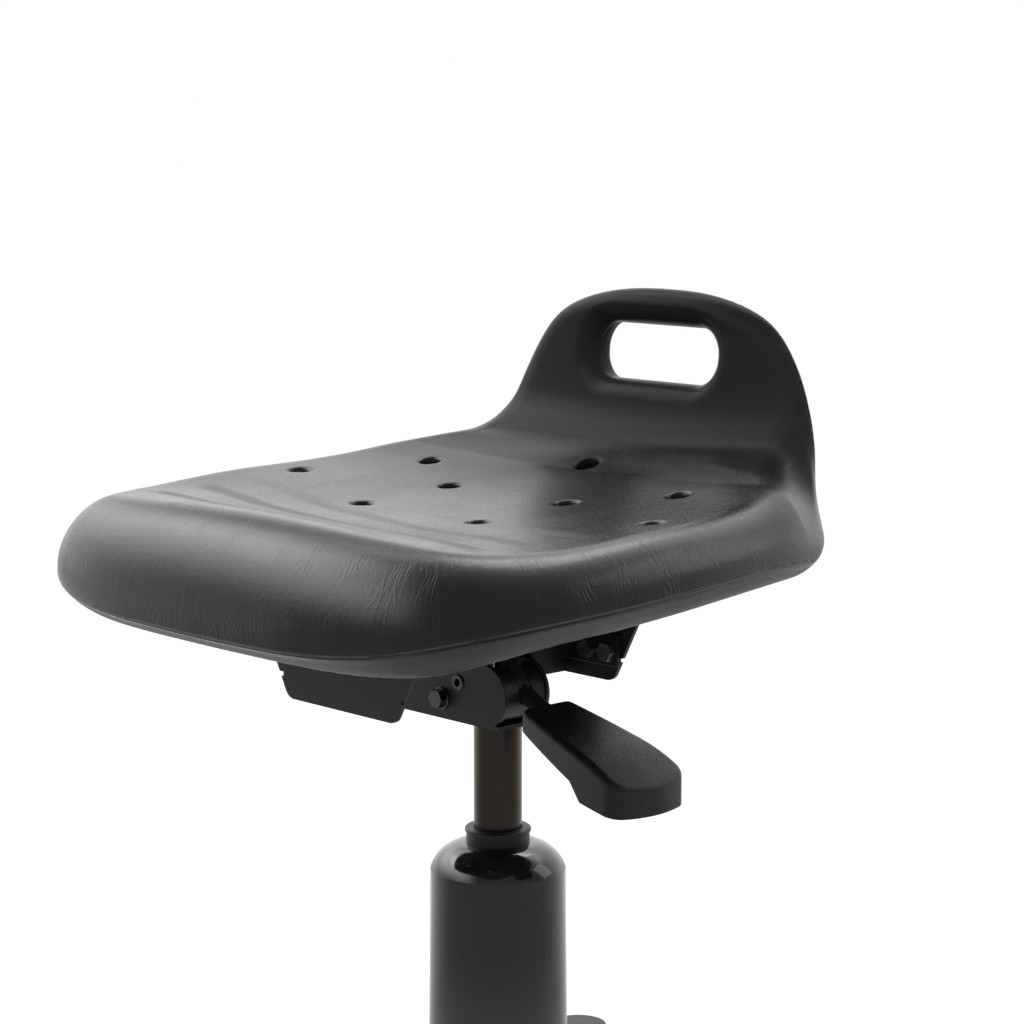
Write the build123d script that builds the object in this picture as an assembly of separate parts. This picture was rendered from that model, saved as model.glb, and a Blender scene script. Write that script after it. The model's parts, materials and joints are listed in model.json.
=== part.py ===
from build123d import *
import os
from math import cos, pi, radians, sin, sqrt, tan

# Swivel stool: a moulded seat on a gas lift, with a five-leg base on castors.
# Millimetres, Z up, floor at z = 0, column axis at x = y = 0. The sitter faces -Y, the lever is on +X.

# Clearances
fit_gap = 0.05
running_gap = 0.08
free_gap = 0.30
cut_over = 2.0

# Castors
wheel_diameter = 50.0
wheel_width = 13.0
wheel_edge = 3.0
wheel_dish_radius = 17.0
wheel_dish_depth = 2.0
axle_diameter = 6.0
castor_height = 60.0
castor_trail = 16.0
web_width = 20.0
web_radius = 13.0
hood_gap = 1.5
hood_wall = 2.5
hood_skirt = 8.0
boss_radius = 10.0
stem_diameter = 11.0
stem_length = 20.0
pintle_diameter = 8.0
pintle_length = 24.0
stem_flange_radius = 9.0
stem_flange = 2.0

# Five-leg base
leg_count = 5
base_reach = 285.0
hub_radius = 43.0
hub_height = 73.0
hub_edge = 1.0
leg_root = 35.0
leg_root_width = 48.0
leg_root_height = 56.0
leg_root_lift = 10.0
leg_mid_width = 41.0
leg_mid_height = 41.0
leg_mid_lift = 5.0
leg_end_width = 33.0
leg_end_height = 26.0
leg_edge = 7.0
leg_wall = 4.0
leg_rib = 3.0
rib_count = 4
leg_end_radius = 19.0
leg_end_depth = 29.0

# Column
column_diameter = 50.0
column_wall = 2.5
column_length = 217.0
column_floor = 4.0
column_inset = 6.0
column_taper = 1.2
column_taper_length = 62.0
bush_length = 70.0
bush_flange = 3.0
cover_headroom = 13.0
cover_base_radius = 41.0
cover_shoulder_radius = 39.5
cover_shoulder_drop = 15.0
cover_wall = 2.5
collar_diameter = 37.0
collar_height = 9.0
collar_lip = 0.8
collar_lip_height = 2.0
collar_spigot = 4.0
collar_wall = 1.3

# Bearing under the piston rod
race_radius = 13.0
race_thickness = 1.5
ball_diameter = 4.0
ball_count = 10
bump_height = 8.0
clip_thickness = 1.5
clip_radius = 8.0

# Gas spring
gas_tube_diameter = 28.0
gas_tube_wall = 1.5
cone_drop = 0.8
cone_length = 29.0
lower_travel = 50.0
upper_travel = 70.0
travel_stop = 0.5
rod_diameter = 10.0
neck_diameter = 8.0
guide_length = 18.0
piston_length = 12.0
seal_width = 3.0
seal_depth = 1.5
valve_length = 39.0
pin_diameter = 5.0
pin_length = 34.0
pin_proud = 6.0
pin_travel = 3.4

# Mechanism under the seat
exposed_tube = 62.0
channel_width = 35.0
channel_sheet = 2.5
channel_height = 36.5
channel_left = 70.0
channel_lip = 19.5
nose_centre = 6.75
web_left = 60.0
web_right = 10.0
web_shoulder = 2.0
mechanism_height = 63.5
bridge_lift = 16.0
bridge_sheet = 3.0
bridge_left = 20.0
cap_recess = 0.95
cap_wall = 2.0
cap_cheek = 3.9
cap_back = 9.8
cap_slot_low = 19.0
cap_slot_room = 0.4
cross_bolt_x = -28.8
cross_bolt_lift = 12.0
cross_bolt_diameter = 6.0
cross_washer_radius = 6.5
sleeve_wall = 2.0
rivet_x = -14.8
rivet_lift = 23.3
rivet_radius = 3.2
rivet_bore = 2.3
rivet_head_radius = 4.6
rivet_head = 1.1
rivet_tail = 1.2

# Seat plate
plate_sheet = 2.5
plate_front = 117.0
plate_rear = 50.0
plate_half_width = 70.0
plate_corner = 12.0
flange_depth = 39.5
flange_low_half = 46.0
flange_high_half = 67.0
flange_corner = 8.0
notch_lift = 13.0
notch_size = 2.6
rail_half_width = 10.0
rail_sheet = 2.5
rail_lift = 1.0
tab_half_width = 52.0
tab_low = 9.0
tab_high = 28.0
rail_bolt_near = 28.5
rail_bolt_far = 44.7
rail_bolt_lift = 17.5
rail_bolt_diameter = 6.0
seat_bolt_x = 52.0
seat_bolt_front = 95.0
seat_bolt_rear = 28.0
seat_bolt_diameter = 8.0
washer_thickness = 1.6
bolt_end = 2.0

# Lever
lever_slope = 24.0
pivot_x = 17.2
pivot_lift = 23.0
pivot_diameter = 4.0
lever_hub_radius = 3.0
lever_travel = 10.0
arm_width = 8.0
arm_back = 15.0
arm_foot = 20.0
arm_neck = 28.5
arm_elbow_x = 14.4
arm_elbow_lift = 30.2
arm_crook_x = 10.5
arm_crook_lift = 32.6
arm_brow_lift = 30.0
arm_crown_x = 14.0
arm_crown_lift = 35.5
finger_root = 6.0
finger_shoulder = 9.0
finger_reach = 5.0
finger_depth = 4.2
stem_exit_x = 27.0
stem_exit_lift = 18.0
lever_stem_diameter = 10.0
stem_back = 9.0
stem_reach = 45.0
stem_room = 0.7
# Paddle on the stem: places along X, and heights over the channel's underside
paddle_root = 38.0
paddle_bend = 92.0
paddle_shoulder = 121.5
paddle_tip = 127.5
paddle_root_top = 18.5
paddle_bend_top = 2.0
paddle_tip_top = -16.5
paddle_root_low = 6.0
paddle_step = 86.0
paddle_step_low = -15.0
paddle_heel = 95.0
paddle_heel_low = -25.5
paddle_tip_low = -31.5
paddle_root_half = 18.5
paddle_waist_half = 25.6
paddle_end_half = 29.0
paddle_root_corner = 6.0
paddle_end_corner = 10.0
paddle_edge = 4.0
paddle_wall = 3.0

# Seat board
board_half_width = 76.0
board_front = 140.0
board_rear = 50.0
board_thickness = 12.0
board_corner = 20.0
t_nut_flange_radius = 11.0
t_nut_flange = 1.5
t_nut_wall = 1.5

# Seat
seat_front = 220.0
parting_lift = 43.0
seat_slope = 3.5
bend_y = 65.5
bend_radius = 70.0
back_slope = 84.0
belly_margin = 5.0
belly_flare = 62.0
belly_depth = 34.0
hand_centre = 414.25
hand_half_width = 50.0
hand_half_height = 16.75
hand_corner = 16.0
lip_run = 11.0
lip_depth = 15.0
neck_run = 2.2
neck_depth = 7.0
vent_diameter = 13.0
vent_rise = 90.0
vent_holes = [(0, 72), (49.3, -59.5), (148, -26), (49, 7), (104, 40)]
# Stations along the parting curve: distance from the front, half width, crown at the middle, crown at the
# shoulder, parting line, underside, run of the shoulder, tuck of the skirt
seat_stations = [
    (3.0, 58, -5, -7, -17, -22, 14, 5),
    (8.0, 106, 13, 9, -15, -26, 26, 10),
    (18.0, 141, 30, 24, -10, -25, 36, 14),
    (46.0, 178, 41.5, 32, -3, -16, 42, 14),
    (66.0, 188, 37, 30, -1, -13.5, 37, 14),
    (92.0, 193, 30, 28, 0, -12.5, 33, 14),
    (125.0, 195, 24.5, 28, 0, -12.5, 28, 14),
    (180.0, 194.5, 21.5, 29, 0, -12.5, 27, 14),
    (235.0, 189.5, 22, 29.5, 0, -12.5, 26, 14),
    (280.0, 179.5, 27, 31, 0, -12.5, 26, 14),
    (310.0, 164.5, 29.5, 31.5, 0, -12.8, 24, 14),
    (340.0, 142, 26.5, 27.5, 0, -13.5, 20, 14),
    (366.0, 126, 19.5, 19.7, 0, -14.2, 17, 14),
    (392.0, 114, 15.5, 15, 0, -14.5, 15, 14),
    (420.0, 101.5, 14.5, 14, 0, -14.5, 14.5, 14),
    (438.0, 82.5, 14, 13.5, 0, -14, 14, 13.5),
    (447.0, 58, 11.5, 11, 0, -11.5, 12, 12),
    (452.0, 28, 6, 5.5, 0, -6, 8, 8),
]

# Heights that follow from the sizes above
wheel_radius = wheel_diameter / 2
axle_radius = axle_diameter / 2
stem_radius = stem_diameter / 2
pintle_radius = pintle_diameter / 2
hub_bottom = castor_height
hub_top = hub_bottom + hub_height
column_radius = column_diameter / 2
column_bore = column_radius - column_wall
column_bottom = hub_bottom + column_inset
column_top = column_bottom + column_length
gas_radius = gas_tube_diameter / 2
rod_radius = rod_diameter / 2
neck_radius = neck_diameter / 2
race_low = column_bottom + column_floor
ball_low = race_low + race_thickness
race_high = ball_low + ball_diameter
rod_shoulder = race_high + race_thickness
bump_top = rod_shoulder + bump_height
gas_bottom = bump_top + travel_stop + lower_travel
cover_top = column_top + cover_headroom
collar_radius = collar_diameter / 2
collar_bore = gas_radius + free_gap
collar_top = cover_top + collar_height
channel_bottom = collar_top + exposed_tube
channel_top = channel_bottom + channel_height
channel_half = channel_width / 2
channel_inner = channel_half - channel_sheet
nose_radius = channel_height / 2
nose_z = channel_bottom + nose_radius
gas_top = channel_bottom + cone_length
gas_top_radius = gas_radius - cone_drop
valve_bore = gas_top_radius - gas_tube_wall
valve_low = gas_top - valve_length
piston_low = gas_bottom + guide_length + upper_travel + travel_stop
piston_top = piston_low + piston_length
gas_bore = gas_radius - gas_tube_wall
pin_top = gas_top + pin_proud
plate_bottom = channel_bottom + mechanism_height
plate_top = plate_bottom + plate_sheet
flange_bottom = plate_bottom - flange_depth
board_top = plate_top + board_thickness
seat_bolt_radius = seat_bolt_diameter / 2
t_nut_radius = seat_bolt_radius + fit_gap + t_nut_wall
pivot_z = channel_bottom + pivot_lift
stem_exit_z = channel_bottom + stem_exit_lift
parting_z = plate_top + parting_lift
seat_bolts_at = [(x, y) for x in (-seat_bolt_x, seat_bolt_x) for y in (-seat_bolt_front, seat_bolt_rear)]
rail_bolts_at = [x for x in (-rail_bolt_far, -rail_bolt_near, rail_bolt_near, rail_bolt_far)]
leg_angles = [-90 + 360 / leg_count * leg for leg in range(leg_count)]

UPWARD = (Align.CENTER, Align.CENTER, Align.MIN)


def post(radius, low, high, x=0.0, y=0.0):
    """Upright cylinder between two heights."""
    return Pos(x, y, low) * Cylinder(radius, high - low, align=UPWARD)


def sleeve(outer, inner, low, high, x=0.0, y=0.0):
    """Upright tube between two heights."""
    return post(outer, low, high, x, y) - post(inner, low - cut_over, high + cut_over, x, y)


def crossbar(radius, x, z, near, far):
    """Cylinder along Y between two places."""
    return Pos(x, (near + far) / 2, z) * Rot(90, 0, 0) * Cylinder(radius, far - near)


def block(x0, x1, y0, y1, z0, z1):
    """Box between two corners."""
    return Pos((x0 + x1) / 2, (y0 + y1) / 2, (z0 + z1) / 2) * Box(x1 - x0, y1 - y0, z1 - z0)


def upright_plate(face, near, far):
    """A face drawn in X and Z, thick along Y between two places."""
    plane = Plane(origin=(0, far, 0), x_dir=(1, 0, 0), z_dir=(0, -1, 0))
    return extrude(plane * face, amount=far - near)


def outline(*corners):
    """Flat face inside straight edges."""
    return make_face(Polyline(*corners, close=True))


def turned(*corners):
    """Solid turned about the column axis from corners given as radius and height."""
    return revolve(Plane.XZ * outline(*corners), Axis.Z)


def hex_along_y(across, x, z, near, far):
    """Hexagon prism along Y."""
    return upright_plate(Pos(x, z) * RegularPolygon(across / sqrt(3), 6), near, far)


def hex_upright(across, x, y, low, high):
    """Upright hexagon prism."""
    return extrude(Plane.XY.offset(low) * Pos(x, y) * RegularPolygon(across / sqrt(3), 6), amount=high - low)


def head_across(diameter):
    """Width across the flats of a bolt head."""
    return 1.5 * diameter + 1.0


def head_height(diameter):
    """Height of a bolt head or nut."""
    return 0.7 * diameter


def gas_cone(gap):
    """Tapered top of the gas spring, larger all round by a gap."""
    foot = gas_radius + gap
    tip = gas_top_radius + gap
    return Pos(0, 0, channel_bottom) * Cone(foot, tip, cone_length, align=UPWARD)


def spine(distance):
    """Place and slope of the seat's parting curve at a distance from its front edge."""
    slope = radians(seat_slope)
    turn = radians(back_slope - seat_slope)
    bend_start = (bend_y + seat_front) / cos(slope)
    flat = min(distance, bend_start)
    angle = slope + min(max((distance - bend_start) / bend_radius, 0), turn)
    rise = max(distance - bend_start - bend_radius * turn, 0)
    y = -seat_front + flat * cos(slope) + bend_radius * (sin(angle) - sin(slope)) + rise * cos(angle)
    z = parting_z - seat_front * tan(slope) + flat * sin(slope)
    z += bend_radius * (cos(slope) - cos(angle)) + rise * sin(angle)
    return y, z, angle


def seat_section(distance, half_width, crown, shoulder, parting, underside, run, tuck):
    """Cross section of the seat, square to the parting curve."""
    y, z, angle = spine(distance)
    plane = Plane(origin=(0, y, z), x_dir=(1, 0, 0), z_dir=(0, -cos(angle), -sin(angle)))
    bulge = sqrt(0.5)
    edge = (half_width, parting)
    top = (half_width - run, shoulder)
    top_bulge = (half_width - run * (1 - bulge), parting + (shoulder - parting) * bulge)
    foot = (half_width - tuck, underside)
    foot_bulge = (half_width - tuck * (1 - bulge), parting + (underside - parting) * bulge)

    def mirrored(point):
        return (-point[0], point[1])

    curves = [
        Line(mirrored(foot), foot),
        ThreePointArc(foot, foot_bulge, edge),
        ThreePointArc(edge, top_bulge, top),
        ThreePointArc(top, (0, crown), mirrored(top)),
        ThreePointArc(mirrored(top), mirrored(top_bulge), mirrored(edge)),
        ThreePointArc(mirrored(edge), mirrored(foot_bulge), mirrored(foot)),
    ]
    return plane * make_face(curves)


def hand_hold():
    """Cutter for the hand-hold, narrow inside and flared to both faces of the back."""
    y, z, angle = spine(hand_centre)
    plane = Plane(origin=(0, y, z), x_dir=(1, 0, 0), z_dir=(0, -sin(angle), cos(angle)))

    def slot(depth, grow):
        width = 2 * (hand_half_width + grow)
        height = 2 * (hand_half_height + grow)
        return plane.offset(depth) * RectangleRounded(width, height, hand_corner + grow)

    steps = [(-lip_depth, lip_run), (-neck_depth, neck_run), (neck_depth, neck_run), (lip_depth, lip_run)]
    cutter = loft([slot(*step) for step in steps], ruled=True)
    past = lip_depth + lip_run
    return cutter + extrude(slot(-past, lip_run), amount=past - lip_depth) + extrude(
        slot(lip_depth, lip_run), amount=past - lip_depth)


def board_outline(grow):
    """Seat board seen from above, larger all round by a margin."""
    middle = (board_rear - board_front) / 2
    width = 2 * (board_half_width + grow)
    length = board_front + board_rear + 2 * grow
    return Pos(0, middle) * RectangleRounded(width, length, board_corner + grow)


def vents(low, high):
    """Vent holes through the seat, mirrored about its middle plane."""
    places = {(side * x, y) for x, y in vent_holes for side in (-1, 1)}
    return [post(vent_diameter / 2, low, high, x, y) for x, y in sorted(places)]


def make_seat():
    """Moulded foam, its board, and the nuts and bolts that hold it."""
    pad = loft([seat_section(*station) for station in seat_stations])
    belly_low = Plane.XY.offset(plate_top) * board_outline(belly_margin)
    belly_high = Plane.XY.offset(plate_top + belly_depth) * board_outline(belly_flare)
    pocket = extrude(Plane.XY.offset(plate_top - cut_over) * board_outline(free_gap),
                     amount=board_thickness + cut_over + free_gap)
    foam = pad + loft([belly_low, belly_high]) - pocket - hand_hold()
    foam -= vents(plate_top - cut_over, plate_top + belly_depth + vent_rise)
    board = extrude(Plane.XY.offset(plate_top) * board_outline(0), amount=board_thickness)
    board -= vents(plate_top - cut_over, board_top + cut_over)
    nuts = []
    bolts = []
    washers = []
    washer_low = plate_bottom - washer_thickness
    head_low = washer_low - head_height(seat_bolt_diameter)
    flange_top = board_top + t_nut_flange
    for x, y in seat_bolts_at:
        foam -= post(t_nut_flange_radius + free_gap, board_top - cut_over, flange_top + free_gap, x, y)
        board -= post(t_nut_radius + fit_gap, plate_top - cut_over, board_top + cut_over, x, y)
        barrel = post(t_nut_radius, plate_top, board_top, x, y)
        nut = barrel + post(t_nut_flange_radius, board_top, flange_top, x, y)
        nuts.append(nut - post(seat_bolt_radius + fit_gap, plate_top - cut_over, flange_top + cut_over, x, y))
        head = hex_upright(head_across(seat_bolt_diameter), x, y, head_low, washer_low)
        bolts.append(head + post(seat_bolt_radius, washer_low, board_top, x, y))
        washers.append(sleeve(seat_bolt_diameter, seat_bolt_radius + fit_gap, washer_low, plate_bottom, x, y))
    return {"seat_foam": foam, "seat_board": board, "t_nuts": Compound(nuts), "seat_bolts": Compound(bolts),
            "bolt_washers": Compound(washers)}


def flange_outline():
    """Turned-down end of the seat plate: narrower below, with rounded corners and two notches."""
    face = outline((-flange_low_half, flange_bottom), (flange_low_half, flange_bottom),
                   (flange_high_half, plate_bottom), (-flange_high_half, plate_bottom))
    face = fillet(face.vertices().sort_by(Axis.Y)[:2], flange_corner)
    lean = (flange_high_half - flange_low_half) / flange_depth
    notch_half = flange_low_half + lean * notch_lift
    for side in (-1, 1):
        face -= Pos(side * notch_half, flange_bottom + notch_lift) * Rectangle(2 * notch_size, notch_size)
    return face


def make_plate():
    """Pressed carrier under the seat, and the bolted rail between it and the channel."""
    middle = (plate_rear - plate_front) / 2
    sheet = Pos(0, middle) * RectangleRounded(2 * plate_half_width, plate_front + plate_rear, plate_corner)
    plate = extrude(Plane.XY.offset(plate_bottom) * sheet, amount=plate_sheet)
    plate += upright_plate(flange_outline(), -plate_front, -plate_front + plate_sheet)
    flange_face = plate_rear - plate_sheet
    plate += upright_plate(flange_outline(), flange_face, plate_rear)
    for x, y in seat_bolts_at:
        plate -= post(seat_bolt_radius + free_gap, plate_bottom - cut_over, plate_top + cut_over, x, y)
    tab_face = flange_face - rail_sheet
    rail_bottom = flange_bottom + rail_lift
    rail = block(-rail_half_width, rail_half_width, channel_half, tab_face, rail_bottom, plate_bottom)
    inner = rail_half_width - rail_sheet
    rail -= block(-inner, inner, channel_half - cut_over, tab_face + cut_over, rail_bottom + rail_sheet,
                  plate_bottom + cut_over)
    rail += block(-tab_half_width, tab_half_width, tab_face, flange_face, flange_bottom + tab_low,
                  flange_bottom + tab_high)
    bolt_radius = rail_bolt_diameter / 2
    across = head_across(rail_bolt_diameter)
    height = head_height(rail_bolt_diameter)
    bolt_z = flange_bottom + rail_bolt_lift
    bolts = []
    nuts = []
    for x in rail_bolts_at:
        hole = crossbar(bolt_radius + fit_gap, x, bolt_z, tab_face - cut_over, plate_rear + cut_over)
        plate -= hole
        rail -= hole
        head = hex_along_y(across, x, bolt_z, tab_face - height, tab_face)
        bolts.append(head + crossbar(bolt_radius, x, bolt_z, tab_face, plate_rear + height + bolt_end))
        nut = hex_along_y(across, x, bolt_z, plate_rear, plate_rear + height)
        nuts.append(nut - crossbar(bolt_radius + fit_gap, x, bolt_z, plate_rear - cut_over,
                                   plate_rear + height + cut_over))
    return {"seat_plate": plate, "rear_rail": rail, "rail_bolts": Compound(bolts), "rail_nuts": Compound(nuts)}


def make_channel():
    """Channel across the stool, with the bridge for the gas spring and the bolts through its walls."""
    low_left = (-channel_left, channel_bottom)
    wall_face = make_face([
        Line(low_left, (nose_centre, channel_bottom)),
        ThreePointArc((nose_centre, channel_bottom), (nose_centre + nose_radius, nose_z),
                      (nose_centre, channel_top)),
        Polyline((nose_centre, channel_top), (-web_shoulder, channel_top), (-web_right, plate_bottom),
                 (-web_left, plate_bottom), (-channel_left, channel_top), low_left),
    ])
    channel = upright_plate(wall_face, -channel_half, -channel_inner)
    channel += upright_plate(wall_face, channel_inner, channel_half)
    channel += block(-channel_left, channel_lip, -channel_half, channel_half, channel_bottom,
                     channel_bottom + channel_sheet)
    bridge_low = channel_bottom + bridge_lift
    bridge = block(-bridge_left, cap_back - free_gap, -channel_inner, channel_inner, bridge_low,
                   bridge_low + bridge_sheet)
    socket = gas_cone(fit_gap)
    channel -= socket
    bridge -= socket
    bolt_radius = cross_bolt_diameter / 2
    across = head_across(cross_bolt_diameter)
    height = head_height(cross_bolt_diameter)
    bolt_z = channel_bottom + cross_bolt_lift
    washer_out = channel_half + washer_thickness
    hole = crossbar(bolt_radius + fit_gap, cross_bolt_x, bolt_z, -washer_out - cut_over, washer_out + cut_over)
    channel -= hole
    washer = crossbar(cross_washer_radius, cross_bolt_x, bolt_z, channel_half, washer_out) - hole
    bolt = hex_along_y(across, cross_bolt_x, bolt_z, -washer_out - height, -washer_out)
    bolt += crossbar(bolt_radius, cross_bolt_x, bolt_z, -washer_out, washer_out + height + bolt_end)
    nut_hole = crossbar(bolt_radius + fit_gap, cross_bolt_x, bolt_z, washer_out - cut_over,
                        washer_out + height + cut_over)
    nut = hex_along_y(across, cross_bolt_x, bolt_z, washer_out, washer_out + height) - nut_hole
    spacer = crossbar(bolt_radius + sleeve_wall, cross_bolt_x, bolt_z, -channel_inner, channel_inner) - hole
    rivet_z = channel_bottom + rivet_lift
    channel -= crossbar(rivet_radius + fit_gap, rivet_x, rivet_z, -channel_half - cut_over,
                        -channel_inner + cut_over)
    rivet = crossbar(rivet_radius, rivet_x, rivet_z, -channel_half, -channel_inner + rivet_tail)
    rivet += crossbar(rivet_head_radius, rivet_x, rivet_z, -channel_half - rivet_head, -channel_half)
    rivet -= crossbar(rivet_bore, rivet_x, rivet_z, -channel_half - cut_over, -channel_inner + cut_over)
    return {"mechanism_channel": channel, "socket_bridge": bridge, "cross_bolt": bolt, "cross_nut": nut,
            "cross_washers": Compound([washer, mirror(washer, Plane.XZ)]), "spacer_sleeve": spacer,
            "wall_rivet": rivet}


def lever_stem(radius, back, reach):
    """Round stem of the lever, from behind the cap's face to inside the paddle."""
    plane = Plane(origin=(stem_exit_x, 0, stem_exit_z), x_dir=(0, 1, 0),
                  z_dir=(cos(radians(lever_slope)), 0, -sin(radians(lever_slope))))
    return extrude(plane.offset(-back) * Circle(radius), amount=back + reach)


def raised(part, angle):
    """A part of the lever, lifted about the pivot."""
    return Pos(pivot_x, 0, pivot_z) * Rot(0, -angle, 0) * Pos(-pivot_x, 0, -pivot_z) * part


def make_end_cap():
    """Plastic cap in the rounded end of the channel, with the lever's pivot pin."""
    cap_radius = nose_radius - cap_recess
    half = channel_inner - fit_gap
    inside = half - cap_cheek
    floor = channel_bottom + channel_sheet + fit_gap
    cap = crossbar(cap_radius, nose_centre, nose_z, -half, half)
    cap -= crossbar(cap_radius - cap_wall, nose_centre, nose_z, -inside, inside)
    cap -= post(gas_radius + free_gap, channel_bottom - cut_over, channel_top + cut_over)
    cap -= block(-cap_radius, cap_back, -channel_half, channel_half, channel_bottom - cut_over,
                 channel_top + cut_over)
    cap -= block(0, 2 * cap_radius, -channel_half, channel_half, channel_bottom - cut_over, floor)
    slot_half = arm_width / 2 + cap_slot_room
    cap -= block(cap_back, 2 * cap_radius, -slot_half, slot_half, channel_bottom + cap_slot_low, channel_top)
    for angle in (0, lever_travel / 2, lever_travel):
        cap -= raised(lever_stem(lever_stem_diameter / 2 + stem_room, stem_back, stem_back), angle)
    pin_radius = pivot_diameter / 2
    pivot_hole = crossbar(pin_radius + fit_gap, pivot_x, pivot_z, -channel_half, channel_half)
    pin = crossbar(pin_radius, pivot_x, pivot_z, -half, half)
    return {"end_cap": cap - pivot_hole, "lever_pivot_pin": pin}


def paddle_plan(inset):
    """Paddle seen from above, smaller all round by an inset."""
    root = paddle_root + inset
    shoulder = paddle_shoulder - inset
    near = [(root, inset - paddle_root_half), ((root + shoulder) / 2, inset - paddle_waist_half),
            (shoulder, inset - paddle_end_half)]
    far = [(x, -y) for x, y in reversed(near)]
    plan = make_face([
        ThreePointArc(*near),
        ThreePointArc(near[-1], (paddle_tip - inset, 0), far[0]),
        ThreePointArc(*far),
        Line(far[-1], near[0]),
    ])
    plan = fillet(plan.vertices().sort_by(Axis.X)[2:], paddle_end_corner - inset)
    return fillet(plan.vertices().sort_by(Axis.X)[:2], paddle_root_corner - inset)


def paddle_side(drop, *underside):
    """Paddle seen from the front, with its top lower by a drop."""
    root = (paddle_root - cut_over, channel_bottom + paddle_root_top - drop)
    bend = (paddle_bend, channel_bottom + paddle_bend_top - drop)
    tip = (paddle_tip + cut_over, channel_bottom + paddle_tip_top - drop)
    return make_face([
        Line(root, bend),
        TangentArc(bend, tip, tangent=(bend[0] - root[0], bend[1] - root[1])),
        Polyline(tip, *underside, root),
    ])


def make_lever():
    """Steel lever that presses the release pin, and the plastic paddle on its stem."""
    finger_low = pin_top + free_gap
    finger_top = finger_low + finger_depth
    foot = channel_bottom + arm_foot
    brow = channel_bottom + arm_brow_lift
    face_radius = nose_radius - cap_recess - free_gap

    def front(z):
        return (nose_centre + sqrt(face_radius ** 2 - (z - nose_z) ** 2), z)

    face = make_face([
        ThreePointArc(front(foot), front((foot + brow) / 2), front(brow)),
        Polyline(front(brow), (arm_crown_x, channel_bottom + arm_crown_lift), (finger_shoulder, finger_top),
                 (-finger_reach, finger_top), (-finger_reach, finger_low), (finger_root, finger_low),
                 (arm_crook_x, channel_bottom + arm_crook_lift), (arm_elbow_x, channel_bottom + arm_elbow_lift),
                 (arm_back, channel_bottom + arm_neck), (arm_back, foot), front(foot)),
    ])
    arm = upright_plate(face, -arm_width / 2, arm_width / 2)
    hub_half = channel_inner - cap_cheek - free_gap
    arm += crossbar(lever_hub_radius, pivot_x, pivot_z, -hub_half, hub_half)
    arm += lever_stem(lever_stem_diameter / 2, stem_back, stem_reach)
    arm -= crossbar(pivot_diameter / 2 + running_gap, pivot_x, pivot_z, -channel_half, channel_half)

    low = channel_bottom + paddle_tip_low
    deep = low - cut_over
    height = paddle_root_top - paddle_tip_low + 2 * cut_over
    outer = paddle_side(0, (paddle_tip + cut_over, low), (paddle_heel, channel_bottom + paddle_heel_low),
                        (paddle_step, channel_bottom + paddle_step_low),
                        (paddle_root - cut_over, channel_bottom + paddle_root_low))
    paddle = extrude(Pos(0, 0, deep) * paddle_plan(0), amount=height)
    paddle &= upright_plate(outer, -2 * paddle_end_half, 2 * paddle_end_half)
    top = paddle.faces().filter_by(lambda side: side.normal_at().Z > 0.5)
    rim = [edge for edge in top.edges() if abs(edge.center().X - paddle_bend) > cut_over]
    paddle = fillet(rim, paddle_edge)
    inner = paddle_side(paddle_wall, (paddle_tip + cut_over, deep), (paddle_root - cut_over, deep))
    pocket = extrude(Pos(0, 0, deep) * paddle_plan(paddle_wall), amount=height)
    pocket &= upright_plate(inner, -2 * paddle_end_half, 2 * paddle_end_half)
    socket_radius = lever_stem_diameter / 2 + fit_gap
    socket_half = socket_radius + paddle_wall
    stem_end = stem_exit_x + stem_reach * cos(radians(lever_slope))
    pocket -= block(paddle_root, stem_end + 2 * paddle_wall, -socket_half, socket_half, deep, channel_top)
    pocket -= block(paddle_step, paddle_step + paddle_wall, -paddle_end_half, paddle_end_half, deep,
                    channel_top)
    paddle -= pocket
    paddle -= lever_stem(socket_radius, 0, stem_reach + fit_gap)
    return {"lever_arm": arm, "lever_paddle": paddle}


def make_gas_spring():
    """Gas spring: tube, valve and rod guide above, piston and rod below."""
    tube = post(gas_radius, gas_bottom, channel_bottom) + gas_cone(0)
    tube -= post(gas_bore, gas_bottom - cut_over, valve_low)
    tube -= post(valve_bore, valve_low - cut_over, gas_top + cut_over)
    pin_radius = pin_diameter / 2
    pin_low = pin_top - pin_length
    valve = post(valve_bore - fit_gap, valve_low, gas_top - fit_gap)
    valve -= post(pin_radius + running_gap, pin_low - pin_travel - free_gap, gas_top + cut_over)
    guide = sleeve(gas_bore - fit_gap, rod_radius + running_gap, gas_bottom, gas_bottom + guide_length)
    rod_low = column_bottom - clip_thickness - race_thickness - 2 * clip_thickness
    rod = post(rod_radius, rod_shoulder, piston_top) + post(neck_radius, rod_low, rod_shoulder)
    groove_low = column_bottom - race_thickness - clip_thickness
    groove = sleeve(rod_radius, neck_radius - clip_thickness / 2, groove_low - fit_gap,
                    groove_low + clip_thickness + fit_gap)
    rod -= groove
    piston = sleeve(gas_bore - running_gap, rod_radius + fit_gap, piston_low, piston_top)
    seal_low = (piston_low + piston_top - seal_width) / 2
    seal_inner = gas_bore - running_gap - seal_depth
    piston -= sleeve(gas_radius, seal_inner, seal_low, seal_low + seal_width)
    seal = sleeve(gas_bore - running_gap, seal_inner + fit_gap, seal_low + fit_gap,
                  seal_low + seal_width - fit_gap)
    return {"pressure_tube": tube, "valve_body": valve, "release_pin": post(pin_radius, pin_low, pin_top),
            "rod_guide": guide, "piston_rod": rod, "piston": piston, "piston_seal": seal}


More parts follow.
